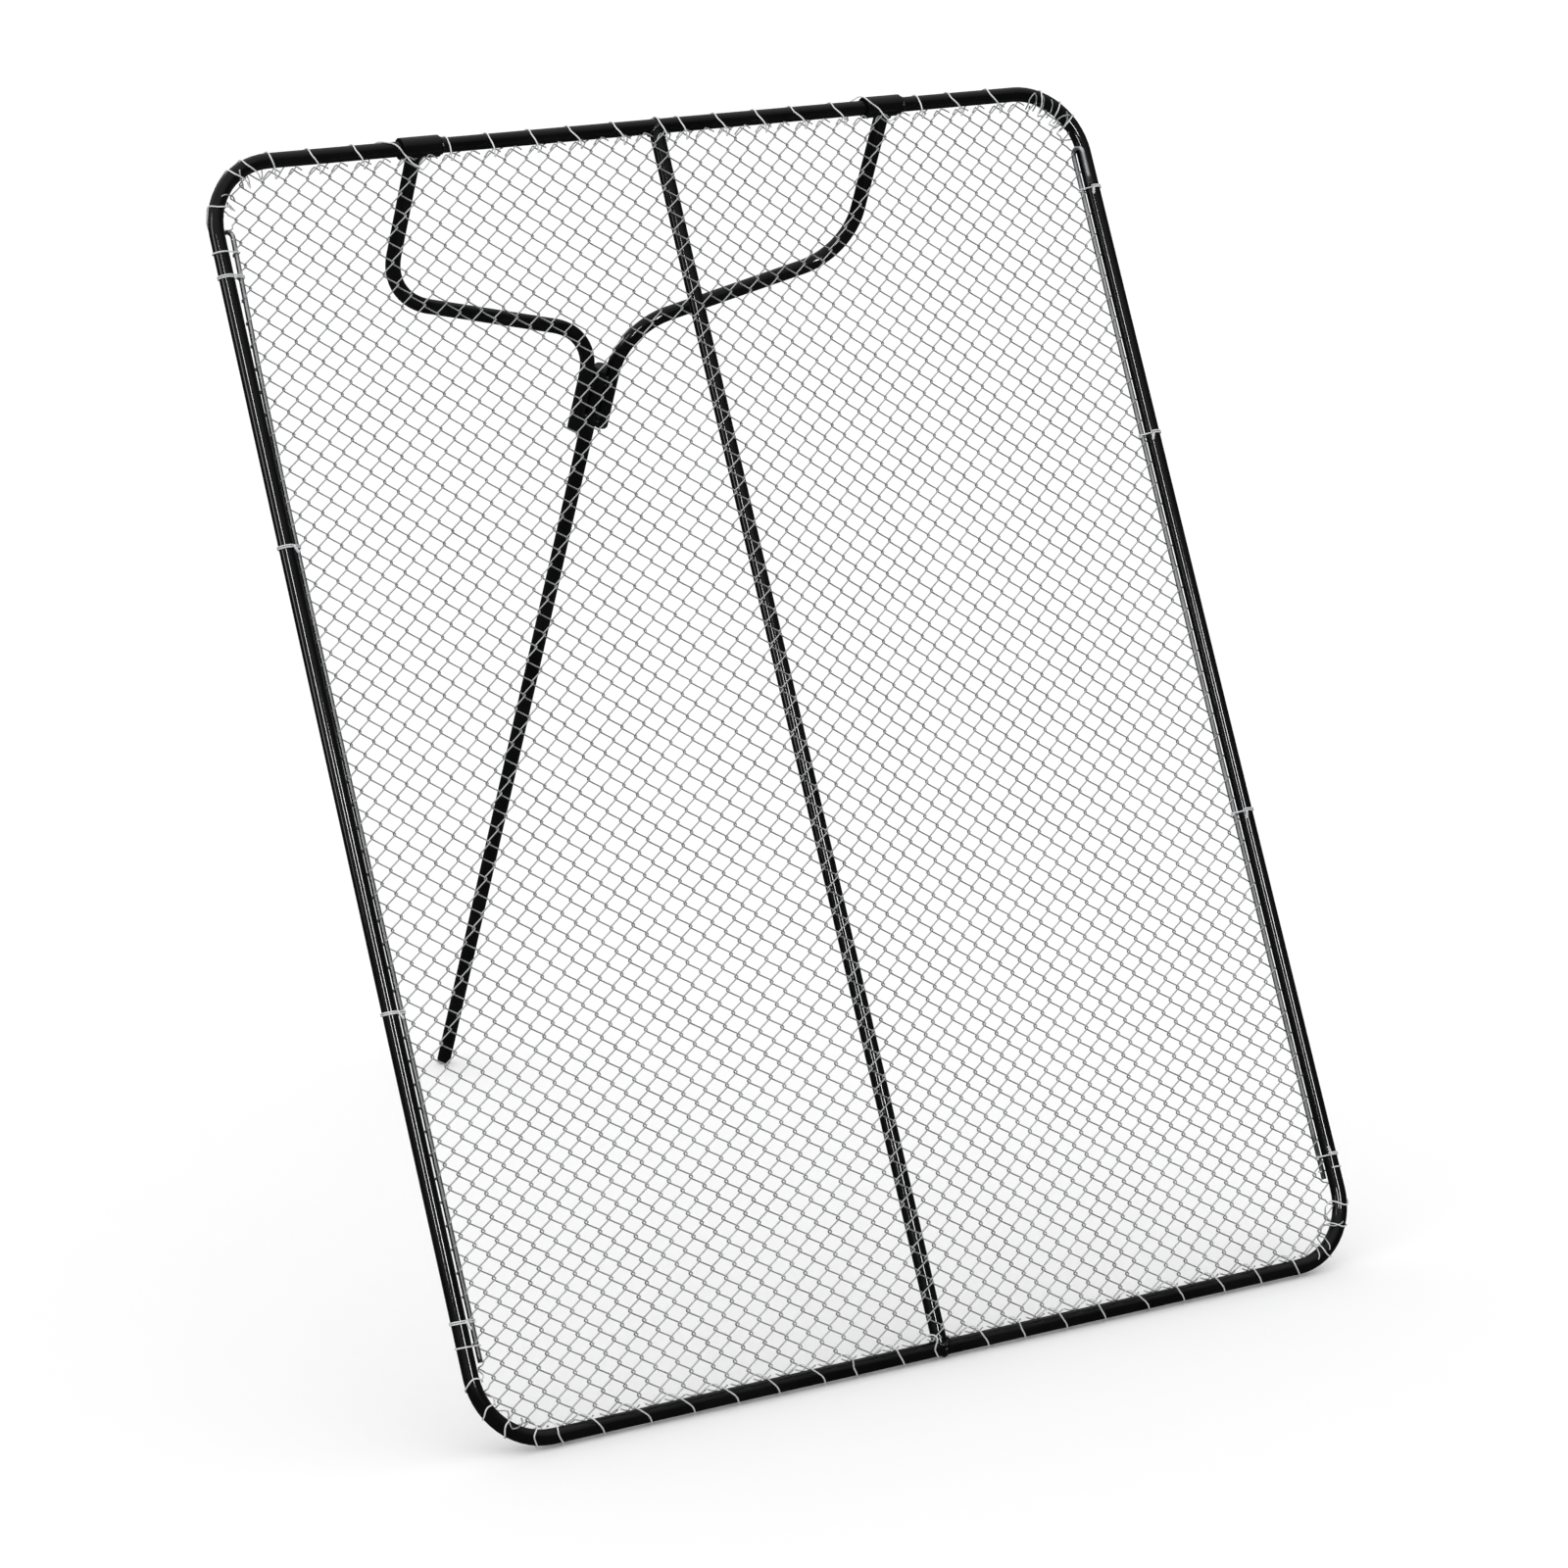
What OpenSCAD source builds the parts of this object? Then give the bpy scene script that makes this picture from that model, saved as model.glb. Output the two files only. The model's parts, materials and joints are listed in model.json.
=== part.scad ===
// Standing wire screen: a tube frame with a chain-link net laced over its front,
// leaning back on a hinged rear stand.
//
// Panel coordinates: X across, Y up along the leaning panel from the axis of the
// bottom rail, Z out of the net side. Stand coordinates: X across, Y down the stand
// from the axis of the top rail. Both are placed in the row frame by on_panel() and
// on_stand(): front towards -Y, floor at Z = 0, origin under the middle of the box.

/* [Frame] */
// Width of the frame over its tubes
frame_w = 800; // [700:1:900]
// Height of the frame over its tubes, measured along the panel
frame_h = 1000; // [850:1:1100]
// Outer diameter of every tube
tube_d = 12; // [10:0.5:13]
// Wall of every tube
tube_wall = 1.5; // [1:0.1:2]
// Radius of every bend, to the middle of the tube
bend_r = 55; // [45:1:65]

/* [Welds] */
// Width of the bead round each butt seam of the frame
seam_w = 5; // [4:0.5:6]
// Height of that bead over the tube
seam_h = 0.9; // [0.5:0.1:1.2]
// How far a fillet weld reaches along the tube it runs round
fillet_out = 1.6; // [1:0.1:2]
// How far a fillet weld reaches up the tube that is joined on
fillet_up = 2.2; // [1.5:0.1:2.6]
// Length of each bead between the leg and an arm
bead_len = 13; // [8:1:18]

/* [Stand] */
// Length of the stand, from the axis of the top rail to the tip of the foot
stand_len = 980; // [850:1:1080]
// Angle between the panel and the stand when it is set up
open_angle = 50; // [35:1:60]
// Outer diameter of the hinge sleeves
sleeve_d = 17.2; // [16.5:0.1:18]
// Gap between a sleeve and the rail it turns on
sleeve_gap = 0.4; // [0.2:0.1:0.6]
// Length of each sleeve
sleeve_len = 33; // [28:1:38]
// Distance of each sleeve's middle from the centre line
sleeve_x = 210.5; // [190:0.5:230]
// Distance of each arm's upper run from the centre line
arm_x = 213.5; // [193:0.5:233]
// Distance down the stand to where each arm starts to bend inwards
arm_drop = 98; // [80:1:115]
// Slope of the slanting run of each arm, below level
arm_slope = 15; // [5:1:25]
// Straight run at the lower end of each arm
arm_tail = 50; // [40:1:65]
// Length of the leg that lies between the arms
leg_lap = 55; // [45:1:60]
// Gap between the leg and each arm, filled by the beads
arm_gap = 0.3; // [0.2:0.1:0.6]
// Width of the ring of weld that keeps a sleeve in its place
stop_w = 4; // [3:0.5:6]
// Height of that ring over the rail
stop_h = 0.8; // [0.5:0.1:1.2]

/* [Tube plugs] */
// Thickness of the head of a plug
plug_head = 3; // [2:0.5:4]
// Rounding of that head
plug_round = 1.5; // [0.8:0.1:1.8]
// Length of the shank inside the tube
plug_shank = 14; // [8:1:20]
// Gap between the shank and the tube's bore
plug_gap = 0.1; // [0.05:0.05:0.2]

/* [Net] */
// Diamonds across, each standing for a patch of about 4.5 by 4.5 woven ones
net_across = 9; // [6:1:10]
// Diamonds up
net_up = 12; // [8:1:13]
// Width of a strand
strand_w = 1.6; // [1.2:0.1:2.4]
// Depth of a strand, which is the depth of the weave
strand_t = 3; // [2:0.1:4]
// Gap between pieces that lie against each other
seat_gap = 0.3; // [0.2:0.05:0.5]

/* [Edge rods] */
// Diameter of the rods threaded up the net's sides
rod_d = 4; // [3:0.1:4.5]
// Distance across from a side rail's axis to its rod's axis
rod_inset = 9.2; // [9.2:0.1:12]
// Distance of a rod's axis behind the middle of the frame
rod_back = 2.1; // [1:0.1:4]
// Height of a rod's foot above the bottom rail's axis
rod_foot = 64; // [50:1:80]
// Distance from the end of the frame's top bend down to the start of a rod's hook
hook_drop = 2; // [2:1:150]
// Length of a hook's free end
hook_tail = 26; // [20:1:36]
// Width of the right rod's hook, which lies in front of its rail
hook_front = 11; // [10.5:0.5:13]
// Turn of that hook out of the plane of the panel
hook_front_turn = 77; // [77:1:90]
// Width of the left rod's hook, which turns back behind its rail
hook_back = 12; // [10.5:0.5:16]
// Turn of that hook out of the plane of the panel
hook_back_turn = 55; // [55:1:90]

/* [Wire] */
// Diameter of the lacing and tie wire
wire_d = 1.2; // [1:0.1:1.5]
// Length of rail that one turn of the lacing takes
lacing_pitch = 36.8; // [30:0.1:42]
// Length of rail that one turn takes round a corner
corner_pitch = 25; // [22:0.5:32]
// Distance between the two turns of a tie
tie_pitch = 2.2; // [1.6:0.1:3]
// Length of a tie's twisted tail
tie_tail = 8; // [5:1:12]

/* [Hidden] */
$fn = 48;

coat = "#1b1b1c";
zinc = "#b4b7b9";
plug_black = "#232323";

tube_r = tube_d / 2;
bore_r = tube_r - tube_wall;
rail_x = frame_w / 2 - tube_r;
panel_h = frame_h - tube_d;
half_run = rail_x - bend_r;
side_run = panel_h - 2 * bend_r;
corner_run = bend_r * PI / 2;

// Lacing: a square wire of the same section as the round one, so many steps a turn
lacing_steps = 10;
wire_r = wire_d / 2;
wire_half = wire_r * sqrt(PI) / 2;
lacing_r = (tube_r + seat_gap + wire_half) / cos(180 / lacing_steps);
lacing_out = lacing_r + wire_half;
sleeve_r = sleeve_d / 2;
lacing_over = (sleeve_r + seat_gap + wire_half) / cos(180 / lacing_steps);
lacing_seam = lacing_r + seam_h / cos(180 / lacing_steps);
step_run = lacing_pitch / lacing_steps;
seam_rise_half = seam_w / 2 + wire_d;
sleeve_rise_half = sleeve_len / 2 + stop_w;
wing_x = sleeve_x + sleeve_rise_half + 2 * step_run + seat_gap;

// The stand's own geometry
arm_turn = 90 - arm_slope;
arm_end_x = tube_d + arm_gap;
arm_shift = bend_r * (1 - cos(arm_turn));
arm_slant = (arm_x - arm_end_x - 2 * arm_shift) / sin(arm_turn);
arm_parallel = arm_drop + 2 * bend_r * sin(arm_turn) + arm_slant * cos(arm_turn);
arm_end = arm_parallel + arm_tail;
leg_top = arm_end - leg_lap;
leg_end = stand_len - plug_head;

// The lean of the panel at which the foot and the bottom rail's lacing both touch
// the floor: foot_p * sin(lean) + foot_q * cos(lean) = plug_round - lacing_out
foot_run = stand_len - plug_round;
foot_rim = tube_r - plug_round;
foot_p = panel_h - foot_run * cos(open_angle) - foot_rim * sin(open_angle);
foot_q = foot_rim * cos(open_angle) - foot_run * sin(open_angle);
foot_hyp = sqrt(foot_p * foot_p + foot_q * foot_q);
lean = asin((plug_round - lacing_out) / foot_hyp) - atan2(foot_q, foot_p);
leg_lean = 180 - open_angle - lean;
box_back = panel_h * cos(lean) + foot_run * cos(leg_lean) + foot_rim * sin(leg_lean)
    + plug_round;
rail_y = (lacing_out - box_back) / 2;
rail_z = lacing_out;
hinge_y = rail_y + panel_h * cos(lean);
hinge_z = rail_z + panel_h * sin(lean);

// Where the net and its rods lie. The net is flat in front of the post, the sleeves and
// the arms, and its two wings lean back from there to the rods
net_back = tube_r + seat_gap;
net_middle = net_back + strand_t / 2;
rod_x = rail_x - rod_inset;
rod_neck = panel_h - bend_r - hook_drop;
wing_turn = atan2(net_middle + rod_back, rod_x - wing_x);
net_x = wing_x + (rod_x - rod_d / 2 - seat_gap - wing_x) / cos(wing_turn);
net_edge = lacing_out + seat_gap;
net_w = 2 * net_x;
net_h = panel_h - 2 * net_edge;
// A strand's half width along X and along Y, for its slope across the net
strand_slope = atan2(net_h / net_up, net_w / net_across);
strand_x = strand_w / 2 / sin(strand_slope);
strand_y = strand_w / 2 / cos(strand_slope);
cell_w = (net_w - 2 * strand_x) / net_across;
cell_h = (net_h - 2 * strand_y) / net_up;
net_corner = [net_across * cell_w, net_up * cell_h - panel_h] / 2;
wing_lap = strand_t * tan(wing_turn);

// Rows of the net's side at which the ties stand, clear of its points
tie_rows_left = [1.07, 3.93, 8.4, 11.06];
tie_rows_right = [0.9, 4.45, 8.43, 11.06];

function unit(v) = v / norm(v);

// A bend is a hair fuller than the straights it joins, which run on into it
function fuller(r) = 1.008 * r;
function lap(r) = 0.08 * r;

// Axis of the frame's tube, by the distance walked clockwise from the top's middle
function walk(s) =
    let (
        a = half_run,
        b = a + corner_run,
        c = b + side_run,
        d = c + corner_run,
        e = d + 2 * half_run,
        f = e + corner_run,
        g = f + side_run,
        top = panel_h,
        turn = 90 / corner_run
    )
    s < -a ? corner_at(-half_run, top - bend_r, 90 - (s + a) * turn)
    : s <= a ? [[s, top], [0, 1]]
    : s < b ? corner_at(half_run, top - bend_r, 90 - (s - a) * turn)
    : s <= c ? [[rail_x, top - bend_r - (s - b)], [1, 0]]
    : s < d ? corner_at(half_run, bend_r, -(s - c) * turn)
    : s <= e ? [[half_run - (s - d), 0], [0, -1]]
    : s < f ? corner_at(-half_run, bend_r, -90 - (s - e) * turn)
    : s <= g ? [[-rail_x, bend_r + (s - f)], [-1, 0]]
    : corner_at(-half_run, top - bend_r, 180 - (s - g) * turn);
function corner_at(x, y, angle) =
    let (out = [cos(angle), sin(angle)]) [[x, y] + bend_r * out, out];

// Point of the lacing at distance s, after so many turns: outwards, front, inwards, back
function lace_point(s, turns, r) =
    let (at = walk(s), out = at[1], c = cos(360 * turns), q = sin(360 * turns))
    [at[0][0] + r * c * out[0], at[0][1] + r * c * out[1], r * q];
function lace_radial(s, turns) =
    let (at = walk(s), out = at[1], c = cos(360 * turns), q = sin(360 * turns))
    [c * out[0], c * out[1], q];

// Distance to each side of an arm that the wire can't cross behind
arm_room = tube_r + fillet_out;
hold = 0.3;
top_turns_out = round((half_run - arm_x - arm_room) / lacing_pitch * 3) / 3;
top_turns_in = round((arm_x - arm_room) / lacing_pitch);
// Turns made by the wire, along the top rail: it waits in front of each arm, and
// stands outwards at the post
top_turns = [
    [-half_run, hold - top_turns_in - top_turns_out],
    [-arm_x - arm_room, hold - top_turns_in],
    [-arm_x + arm_room, hold - top_turns_in],
    [0, 0],
    [arm_x - arm_room, hold + top_turns_in - 1],
    [arm_x + arm_room, hold + top_turns_in - 1],
    [half_run, hold + top_turns_in - 1 + top_turns_out]
];
// Radius of the lacing: it rises over each sleeve, and over the seam at s = middle
function rise(middle, half, run, height) = [
    [middle - half - run, lacing_r],
    [middle - half, height],
    [middle + half, height],
    [middle + half + run, lacing_r]
];
top_radius = concat(
    rise(-sleeve_x, sleeve_rise_half, 2 * step_run, lacing_over),
    rise(0, seam_rise_half, step_run, lacing_seam),
    rise(sleeve_x, sleeve_rise_half, 2 * step_run, lacing_over)
);

// Along the bottom rail the wire crosses the seam between outwards and front
bottom_s = half_run + 2 * corner_run + side_run;
bottom_end = bottom_s + 2 * half_run;
bottom_mid = bottom_s + half_run;
seam_turn = 0.15;
bottom_turns = [
    [bottom_s, seam_turn - half_run / lacing_pitch],
    [bottom_end, seam_turn + half_run / lacing_pitch]
];
bottom_radius = rise(bottom_mid, seam_rise_half, step_run, lacing_seam);

// Rings of a lacing: each is [centre, radial direction]
function lacing_rings(s0, s1, pitch, turns, radius) =
    let (count = ceil((s1 - s0) / pitch * lacing_steps))
    [for (i = [0 : count])
        let (s = s0 + (s1 - s0) * i / count, t = lookup(s, turns), r = lookup(s, radius))
        [lace_point(s, t, r), lace_radial(s, t)]];

// Smallest distance between two turns of a wire, surface to surface
function least_gap(rings) =
    min([for (i = [0 : len(rings) - 1], j = [i + 7 : 1 : min(i + 14, len(rings) - 1)])
        norm(rings[i][0] - rings[j][0])]) - wire_d;

// A wire through its rings, square in section, closed at both ends
module wire_through(rings) {
    last = len(rings) - 1;
    corners = [for (i = [0 : last])
        let (
            along = unit(rings[min(i + 1, last)][0] - rings[max(i - 1, 0)][0]),
            side = unit(cross(along, rings[i][1])),
            up = cross(side, along)
        )
        for (c = [[1, 1], [-1, 1], [-1, -1], [1, -1]])
            rings[i][0] + wire_half * (c[0] * side + c[1] * up)];
    walls = [for (i = [0 : last - 1], j = [0 : 3])
        let (a = 4 * i + j, b = 4 * i + (j + 1) % 4)
        each [[a, b, b + 4], [a, b + 4, a + 4]]];
    ends = [[0, 3, 2], [0, 2, 1],
        [4 * last, 4 * last + 1, 4 * last + 2], [4 * last, 4 * last + 2, 4 * last + 3]];
    polyhedron(corners, concat(walls, ends));
}

// Places

module on_panel() {
    translate([0, rail_y, rail_z])
        rotate([lean, 0, 0])
            children();
}
module on_stand() {
    on_panel()
        translate([0, panel_h, 0])
            rotate([180 + open_angle, 0, 0])
                children();
}
module flip(flipped = true) {
    if (flipped) mirror([1, 0, 0]) children();
    else children();
}

// Rods and tubes

module along_x(r, from, to) {
    translate([from, 0, 0])
        rotate([0, 90, 0])
            cylinder(r = r, h = to - from);
}
module along_y(r, from, to) {
    translate([0, from, 0])
        rotate([-90, 0, 0])
            cylinder(r = r, h = to - from);
}
// A ring of round section, or a part of one, a hair fuller than the straights it joins
module bend(ring_r, r, angle) {
    rotate_extrude(angle = angle)
        translate([ring_r, 0])
            circle(r = fuller(r));
}
// A rod laid from the origin along +Y: a list of [straight length, left turn after it].
// Its ends run on by the given length.
module bent_rod(r, steps, over = 0, i = 0) {
    length = steps[i][0];
    turn = steps[i][1];
    first = i == 0;
    last = turn == 0;
    along_y(r, first ? -over : -lap(r), length + (last ? over : lap(r)));
    if (!last)
        translate([0, length, 0]) {
            flip(turn < 0)
                translate([-bend_r, 0, 0])
                    bend(bend_r, r, abs(turn));
            translate([sign(turn) * bend_r * (cos(turn) - 1), bend_r * sin(abs(turn)), 0])
                rotate([0, 0, turn])
                    bent_rod(r, steps, over, i + 1);
        }
}
module bent_tube(steps) {
    difference() {
        bent_rod(tube_r, steps);
        bent_rod(bore_r, steps, 1);
    }
}
// A fillet weld where a tube leaves a round main tube along +Y
module saddle_weld(main_r) {
    difference() {
        intersection() {
            along_x(main_r + fillet_up, -2 * tube_d, 2 * tube_d);
            along_y(tube_r + fillet_out, 0, main_r + 2 * fillet_up);
        }
        along_x(main_r, -3 * tube_d, 3 * tube_d);
        along_y(tube_r, -1, main_r + 3 * fillet_up);
    }
}
// A raised ring of weld round a tube along X, centred at the origin
module bead_ring(width, height) {
    crown_r = (width * width / 4 + height * height) / (2 * height);
    rotate([0, 90, 0])
        rotate_extrude()
            intersection() {
                translate([tube_r + height - crown_r, 0])
                    circle(r = crown_r);
                translate([tube_r, -width])
                    square([2 * height, 2 * width]);
            }
}

// Frame

module frame_half() {
    rotate([0, 0, -90])
        bent_tube([[half_run, 90], [side_run, 90], [half_run, 0]]);
}
module frame_left_half() {
    color(coat) on_panel() mirror([1, 0, 0]) frame_half();
}
module frame_right_half() {
    color(coat) on_panel() frame_half();
}
// The bead stops where the post's own weld begins
module frame_seam() {
    difference() {
        bead_ring(seam_w, seam_h);
        along_y(tube_r + fillet_out, 0, tube_d);
    }
}
module frame_seam_top() {
    color(coat) on_panel() translate([0, panel_h, 0]) mirror([0, 1, 0]) frame_seam();
}
module frame_seam_bottom() {
    color(coat) on_panel() frame_seam();
}
// The post is coped to the round of both rails
module centre_post() {
    color(coat) on_panel() difference() {
        along_y(tube_r, 0, panel_h);
        along_y(bore_r, -1, panel_h + 1);
        along_x(tube_r, -tube_d, tube_d);
        translate([0, panel_h, 0]) along_x(tube_r, -tube_d, tube_d);
    }
}
module post_weld_top() {
    color(coat) on_panel() translate([0, panel_h, 0]) mirror([0, 1, 0]) saddle_weld(tube_r);
}
module post_weld_bottom() {
    color(coat) on_panel() saddle_weld(tube_r);
}
// The rings of weld stand at the right end of each sleeve
module sleeve_stop(x) {
    color(coat) on_panel()
        translate([x + sleeve_len / 2 + seat_gap + stop_w / 2, panel_h, 0])
            bead_ring(stop_w, stop_h);
}
module sleeve_stop_left() { sleeve_stop(-sleeve_x); }
module sleeve_stop_right() { sleeve_stop(sleeve_x); }

// Net and what holds it

// The corners of the net's edge, from tip to notch all the way round
function net_edge_points() =
    let (
        w = cell_w / 2,
        h = cell_h / 2,
        x = net_across * w,
        y = net_up * h
    )
    concat(
        [for (i = [0 : net_across - 1])
            each [[i * cell_w - x, -y - strand_y], [i * cell_w - x + w, h - y - strand_y]]],
        [[x, -y - strand_y]],
        [for (j = [0 : net_up - 1])
            each [[x + strand_x, j * cell_h - y], [x - w + strand_x, j * cell_h - y + h]]],
        [[x + strand_x, y]],
        [for (i = [0 : net_across - 1])
            each [[x - i * cell_w, y + strand_y], [x - i * cell_w - w, y - h + strand_y]]],
        [[-x, y + strand_y]],
        [for (j = [0 : net_up - 1])
            each [[-x - strand_x, y - j * cell_h], [w - x - strand_x, y - j * cell_h - h]]],
        [[-x - strand_x, -y]]
    );
// The frame's opening, as far as the lacing lets the net reach
module net_room() {
    reach = rail_x - net_edge;
    translate([-half_run, net_edge])
        square([2 * half_run, panel_h - 2 * net_edge]);
    translate([-reach, bend_r])
        square([2 * reach, side_run]);
    for (x = [-half_run, half_run], y = [bend_r, panel_h - bend_r])
        translate([x, y])
            circle(r = bend_r - net_edge);
}
module net_gap() {
    w = cell_w / 2 - strand_x;
    h = cell_h / 2 - strand_y;
    polygon([[w, 0], [0, h], [-w, 0], [0, -h]]);
}
module flat_net() {
    difference() {
        intersection() {
            translate([0, panel_h / 2]) polygon(net_edge_points());
            net_room();
        }
        for (i = [0 : net_across - 1], j = [1 : net_up - 1])
            translate([(i + 0.5) * cell_w, j * cell_h] - net_corner)
                net_gap();
        for (i = [1 : net_across - 1], j = [0 : net_up - 1])
            translate([i * cell_w, (j + 0.5) * cell_h] - net_corner)
                net_gap();
    }
}
// A part of the net between two distances from the centre line, in its own thickness
module net_part(from, to) {
    translate([0, 0, -strand_t / 2])
        linear_extrude(strand_t)
            intersection() {
                flat_net();
                translate([from, 0]) square([to - from, panel_h]);
            }
}
// The wings run a little way into the middle, so that they join it through and through
module net_wing() {
    translate([wing_x, 0, 0])
        rotate([0, wing_turn, 0])
            translate([-wing_x, 0, 0])
                net_part(wing_x - wing_lap, frame_w);
}
module chain_link_net() {
    color(zinc) on_panel()
        translate([0, 0, net_middle]) {
            net_part(-wing_x, wing_x);
            net_wing();
            mirror([1, 0, 0]) net_wing();
        }
}
// A straight rod with a hook at its top, turned about the rod by the given angle
module edge_rod(hook_w, turned) {
    translate([rod_x, 0, -rod_back]) {
        along_y(rod_d / 2, rod_foot, rod_neck + lap(rod_d / 2));
        translate([0, rod_neck, 0])
            rotate([0, turned, 0]) {
                translate([hook_w / 2, 0, 0])
                    bend(hook_w / 2, rod_d / 2, 180);
                translate([hook_w, 0, 0])
                    along_y(rod_d / 2, -hook_tail, lap(rod_d / 2));
            }
    }
}
module edge_rod_left() {
    color(zinc) on_panel() mirror([1, 0, 0]) edge_rod(hook_back, hook_back_turn);
}
module edge_rod_right() {
    color(zinc) on_panel() edge_rod(hook_front, -hook_front_turn);
}
// One turn of tie wire round a side rail and its rod, in the XY plane
module tie_turn() {
    rail_round = tube_r + seat_gap + wire_r;
    rod_round = rod_d / 2 + seat_gap + wire_r;
    apart = norm([rod_inset, rod_back]);
    facing = 180 + atan2(rod_back, rod_inset);
    wrap = acos((rail_round - rod_round) / apart);
    straight = apart * sin(wrap);
    translate([rail_x, 0, 0])
        rotate([0, 0, facing + wrap])
            bend(rail_round, wire_r, 360 - 2 * wrap);
    translate([rod_x, -rod_back, 0])
        rotate([0, 0, facing - wrap])
            bend(rod_round, wire_r, 2 * wrap);
    for (side = [-1, 1])
        translate([rail_x, 0, 0])
            rotate([0, 0, facing + side * wrap])
                translate([rail_round, 0, 0])
                    rotate([0, 0, -side * 90])
                        along_x(wire_r, -lap(wire_r), straight + lap(wire_r));
    // The twisted tail lies on the front run, across both turns
    translate([rail_x, 0, 0])
        rotate([0, 0, facing - wrap])
            translate([rail_round + wire_r / 2, straight / 2, 0])
                children();
}
module tie() {
    rotate([90, 0, 0]) {
        for (z = [-1, 1])
            translate([0, 0, z * tie_pitch / 2])
                tie_turn();
        tie_turn()
            translate([0, 0, -tie_pitch / 2 - wire_d])
                cylinder(r = wire_r * 1.5, h = tie_pitch + wire_d + tie_tail);
    }
}
module rod_ties(rows) {
    for (row = rows)
        translate([0, row * cell_h - net_corner[1], 0])
            tie();
}
module rod_ties_left() {
    color(zinc) on_panel() mirror([1, 0, 0]) rod_ties(tie_rows_left);
}
module rod_ties_right() {
    color(zinc) on_panel() rod_ties(tie_rows_right);
}
module lacing(s0, s1, pitch, turns, radius) {
    rings = lacing_rings(s0, s1, pitch, turns, radius);
    echo(least_gap_between_turns = least_gap(rings));
    color(zinc) on_panel() wire_through(rings);
}
module lacing_top() {
    lacing(-half_run, half_run, lacing_pitch, top_turns, top_radius);
}
module lacing_bottom() {
    lacing(bottom_s, bottom_end, lacing_pitch, bottom_turns, bottom_radius);
}
// Round a corner, starting in front
module corner_lacing(s0, s1) {
    turns = [[s0, 0.25], [s1, 0.25 + (s1 - s0) / corner_pitch]];
    lacing(s0, s1, corner_pitch, turns, [[s0, lacing_r]]);
}
module corner_lacing_top_left() {
    corner_lacing(-half_run - 0.85 * corner_run, -half_run - lacing_pitch / 8);
}
module corner_lacing_top_right() {
    corner_lacing(half_run + lacing_pitch / 8, half_run + 0.85 * corner_run);
}
module corner_lacing_bottom_right() {
    corner_lacing(bottom_s - corner_run, bottom_s - lacing_pitch / 8);
}
module corner_lacing_bottom_left() {
    corner_lacing(bottom_end + lacing_pitch / 8, bottom_end + corner_run);
}

// Stand

module hinge_sleeve() {
    translate([sleeve_x, 0, 0])
        difference() {
            along_x(sleeve_r, -sleeve_len / 2, sleeve_len / 2);
            along_x(tube_r + sleeve_gap, -sleeve_len, sleeve_len);
        }
}
module hinge_sleeve_left() {
    color(coat) on_stand() mirror([1, 0, 0]) hinge_sleeve();
}
module hinge_sleeve_right() {
    color(coat) on_stand() hinge_sleeve();
}
module stand_arm() {
    translate([arm_x, 0, 0])
        difference() {
            bent_tube([[arm_drop, arm_turn], [arm_slant, -arm_turn], [arm_tail, 0]]);
            along_x(sleeve_r, -tube_d, tube_d);
        }
}
module stand_arm_left() {
    color(coat) on_stand() mirror([1, 0, 0]) stand_arm();
}
module stand_arm_right() {
    color(coat) on_stand() stand_arm();
}
// The weld is ground almost flush on the side that lies behind the net when the stand
// is folded
module arm_weld() {
    translate([arm_x, 0, 0])
        intersection() {
            saddle_weld(sleeve_r);
            translate([-2 * tube_d, 0, -tube_r - seat_gap])
                cube([4 * tube_d, 2 * tube_d, 3 * tube_d]);
        }
}
module arm_weld_left() {
    color(coat) on_stand() mirror([1, 0, 0]) arm_weld();
}
module arm_weld_right() {
    color(coat) on_stand() arm_weld();
}
module stand_leg() {
    color(coat) on_stand() difference() {
        along_y(tube_r, leg_top, leg_end);
        along_y(bore_r, leg_top - 1, leg_end + 1);
    }
}
// Short beads in the grooves between the leg and the arms, front and back
module leg_weld_beads() {
    groove_x = arm_end_x / 2;
    bead_r = tube_r * 0.42;
    bead_z = tube_r * 0.72;
    color(coat) on_stand() difference() {
        for (x = [-groove_x, groove_x], z = [-bead_z, bead_z],
                y = [arm_parallel, arm_end - bead_len - 1])
            translate([x, 0, z]) along_y(bead_r, y, y + bead_len);
        for (x = [-arm_end_x, 0, arm_end_x])
            translate([x, 0, 0]) along_y(tube_r, leg_top - 1, arm_end + 1);
    }
}
// A plastic plug, its head from the origin along +Y and its shank the other way
module tube_plug() {
    shank_r = bore_r - plug_gap;
    rotate([-90, 0, 0])
        rotate_extrude() {
            square([tube_r - plug_round, plug_head]);
            square([tube_r, plug_head - plug_round]);
            translate([tube_r - plug_round, plug_head - plug_round])
                intersection() {
                    circle(r = plug_round);
                    square(plug_round);
                }
            translate([0, -plug_shank])
                square([shank_r, plug_shank]);
        }
}
module leg_top_plug() {
    color(plug_black) on_stand() translate([0, leg_top, 0]) mirror([0, 1, 0]) tube_plug();
}
module foot_plug() {
    color(plug_black) on_stand() translate([0, leg_end, 0]) tube_plug();
}
module arm_plug() {
    translate([arm_end_x, arm_end, 0]) tube_plug();
}
module arm_plug_left() {
    color(plug_black) on_stand() mirror([1, 0, 0]) arm_plug();
}
module arm_plug_right() {
    color(plug_black) on_stand() arm_plug();
}

echo(lean = lean, leg_lean = leg_lean, rail_y = rail_y, rail_z = rail_z,
    hinge_y = hinge_y, hinge_z = hinge_z, box_back = box_back);

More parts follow.
